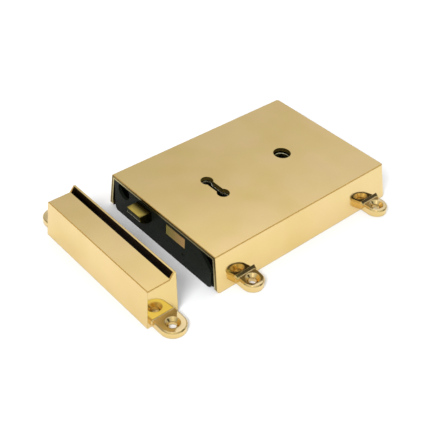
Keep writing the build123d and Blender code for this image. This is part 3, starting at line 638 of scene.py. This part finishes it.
def tube(path, radius, sides):
    """A closed round tube along a path.

    At each path point t the ring is path + radius * (cos(u) * side + sin(u) * top), where side and top
    are square to the path's own direction. Both ends are closed by a point on the path.
    """
    along = np.gradient(path, axis=0)
    along /= np.linalg.norm(along, axis=1)[:, None]
    middle = path.mean(axis=0)
    side = path - middle
    side -= (side * along).sum(axis=1)[:, None] * along
    side /= np.linalg.norm(side, axis=1)[:, None]
    top = np.cross(along, side)
    turn = np.linspace(0, 2 * np.pi, sides, endpoint=False)[None, :, None]
    spokes = np.cos(turn) * side[:, None, :] + np.sin(turn) * top[:, None, :]
    rings = path[:, None, :] + radius * spokes
    count = len(path)
    points = np.vstack([rings.reshape(-1, 3), path[:1], path[-1:]])
    ring, step = np.meshgrid(np.arange(count - 1), np.arange(sides), indexing="ij")
    after = (step + 1) % sides
    quads = np.stack(
        [ring * sides + step, ring * sides + after, (ring + 1) * sides + after, (ring + 1) * sides + step],
        axis=-1,
    ).reshape(-1, 4)
    steps = np.arange(sides)
    nexts = (steps + 1) % sides
    first = np.stack([np.full(sides, count * sides), nexts, steps], axis=-1)
    last_ring = (count - 1) * sides
    last = np.stack([np.full(sides, count * sides + 1), last_ring + steps, last_ring + nexts], axis=-1)
    return points, quads.tolist() + first.tolist() + last.tolist()


def spring_strip(low, high, half, lap, arc_steps=25):
    """A leaf spring on edge, closed at both ends.

    Its middle line runs straight back by lap along the lever, at the box's upper side in Y, and then follows
    an arc that starts along the lever and ends at the box's lower side in Y. At each path point the section
    is a rectangle of half each side of the line by the box's height.
    """
    start = np.array([high.x, high.y - half])
    bend = start - [lap, 0.0]
    drop = (high.y - low.y) - 2 * half
    reach = bend[0] - low.x - half
    radius = (reach ** 2 + drop ** 2) / (2 * drop)
    sweep = np.linspace(0, np.arcsin(reach / radius), arc_steps)
    arc = np.stack([bend[0] - radius * np.sin(sweep), bend[1] - radius * (1 - np.cos(sweep))], axis=-1)
    line = np.vstack([start, arc])
    along = np.gradient(line, axis=0)
    along /= np.linalg.norm(along, axis=1)[:, None]
    side = np.stack([-along[:, 1], along[:, 0]], axis=-1) * half
    corners = ((1, low.z), (-1, low.z), (-1, high.z), (1, high.z))
    points = np.stack(
        [np.column_stack([line + way * side, np.full(len(line), height)]) for way, height in corners], axis=1
    ).reshape(-1, 3)
    step, corner = np.meshgrid(np.arange(len(line) - 1), np.arange(4), indexing="ij")
    after = (corner + 1) % 4
    quads = np.stack(
        [step * 4 + corner, (step + 1) * 4 + corner, (step + 1) * 4 + after, step * 4 + after], axis=-1
    ).reshape(-1, 4)
    last = (len(line) - 1) * 4
    caps = [[0, 1, 2, 3], [last, last + 3, last + 2, last + 1]]
    return points, quads.tolist() + caps


place_camera()
light_studio()
lay_floor()

cover_brass = polished_brass("polished cast brass of the cover", cover_inside)
keep_brass = polished_brass("polished cast brass of the keep", keep_inside, keep_slot)

# The cutter left faint lines along the bolts, which draw the mirrored room out across them
bolt_brass = worked_metal(
    "milled yellow brass", ("#D0BC60", "#B8A04A"), edge=("#E0C988", 0.6), roughness=(0.16, 0.28),
    line_mm=3.85, stretch=(1.0, 6.0, 6.0), bump=0.08, marks=bolt_painted_shade_and_glints,
)
# The rolls left long faint lines, and the sheet is hazier than the milled brass
sheet_brass = worked_metal(
    "rolled sheet brass", ("#D5B86E", "#B39650"), edge=("#E8D394", 0.6), roughness=(0.22, 0.36),
    line_mm=5.0, stretch=(1.0, 8.0, 8.0), bump=0.08,
)
# The posts and screws were turned from drawn bar, whose fine lines run along them under a cool grey shine
turned_steel = worked_metal(
    "turned bright steel", ("#B9BABB", "#8F9092"), edge=("#DADADA", 0.6), roughness=(0.2, 0.36),
    line_mm=2.38, stretch=(6.0, 6.0, 1.0), bump=0.08,
)
# The press left a dull grey skin, and the follower's hub has painted bright glint rings between painted dark
# shade
pressed_steel = worked_metal(
    "pressed and oiled steel", ("#8F8E8B", "#64625E"), edge=("#B5B4B0", 0.6), roughness=(0.28, 0.45),
    line_mm=4.55, stretch=(1.0, 7.0, 7.0), bump=0.1, marks=hub_rings_painted_light,
)
# Tempering left a dark blue-grey film, smooth and softly shining
spring_steel = worked_metal(
    "blued spring steel", ("#7B7C82", "#54555C"), edge=("#A0A2A8", 0.5), roughness=(0.2, 0.34),
    line_mm=3.33, stretch=(1.0, 6.0, 6.0), bump=0.06,
)

finishes = {
    "polished_brass": cover_brass,
    "bolt_brass": bolt_brass,
    "lever_brass": sheet_brass,
    "black_steel": black_japan(),
    "bright_steel": turned_steel,
    "tail_steel": pressed_steel,
    "spring_steel": spring_steel,
}
slot_of = {part["node"]: part["material_slot"] for part in frame["record"]["subparts"]}
for name, thing in frame["nodes"].items():
    finish = keep_brass if name == "keep" else finishes[slot_of[name]]
    if thing.material_slots:
        for held in thing.material_slots:
            held.material = finish
    else:
        thing.data.materials.append(finish)

# The latch's coil spring: a round wire on a helix, with its end turns closed up. At a share s of the wire its
# middle is travel(s) along X and coil_radius * (cos(a), sin(a)) across it, where a = 2 * pi * coil_turns * s
spring_low, spring_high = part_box("latch_spring")
spring_middle = (spring_low + spring_high) / 2
wire_radius = 0.00035
wire_sides = 12
coil_radius = 0.0017
coil_turns = 8
steps_per_turn = 32
closed_share = 0.13
closed_travel = 0.055
coil_share = np.linspace(0, 1, coil_turns * steps_per_turn + 1)
travel = np.interp(
    coil_share, [0, closed_share, 1 - closed_share, 1], [0, closed_travel, 1 - closed_travel, 1]
)
coil_angle = coil_share * coil_turns * 2 * np.pi
coil_path = np.stack(
    [
        spring_low.x + wire_radius + travel * (spring_high.x - spring_low.x - 2 * wire_radius),
        spring_middle.y + coil_radius * np.cos(coil_angle),
        spring_middle.z + coil_radius * np.sin(coil_angle),
    ],
    axis=-1,
)
coil = mesh_piece("latch_coil_spring", *tube(coil_path, wire_radius, wire_sides), spring_steel)
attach(coil, "lock")
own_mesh(coil)
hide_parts("latch_spring")

# The lever springs: strips that leave the levers' lower edges and curve away to the wall of the case
strip_half = 0.0003
strip_lap = 0.008
for number in (1, 2, 3):
    strip_low, strip_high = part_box(f"lever_spring_{number}")
    points, faces = spring_strip(strip_low, strip_high, strip_half, strip_lap)
    strip = mesh_piece(f"lever_spring_strip_{number}", points, faces, spring_steel, smooth=False)
    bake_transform(strip)
    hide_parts(f"lever_spring_{number}")

bpy.context.scene.view_settings.view_transform = "Standard"
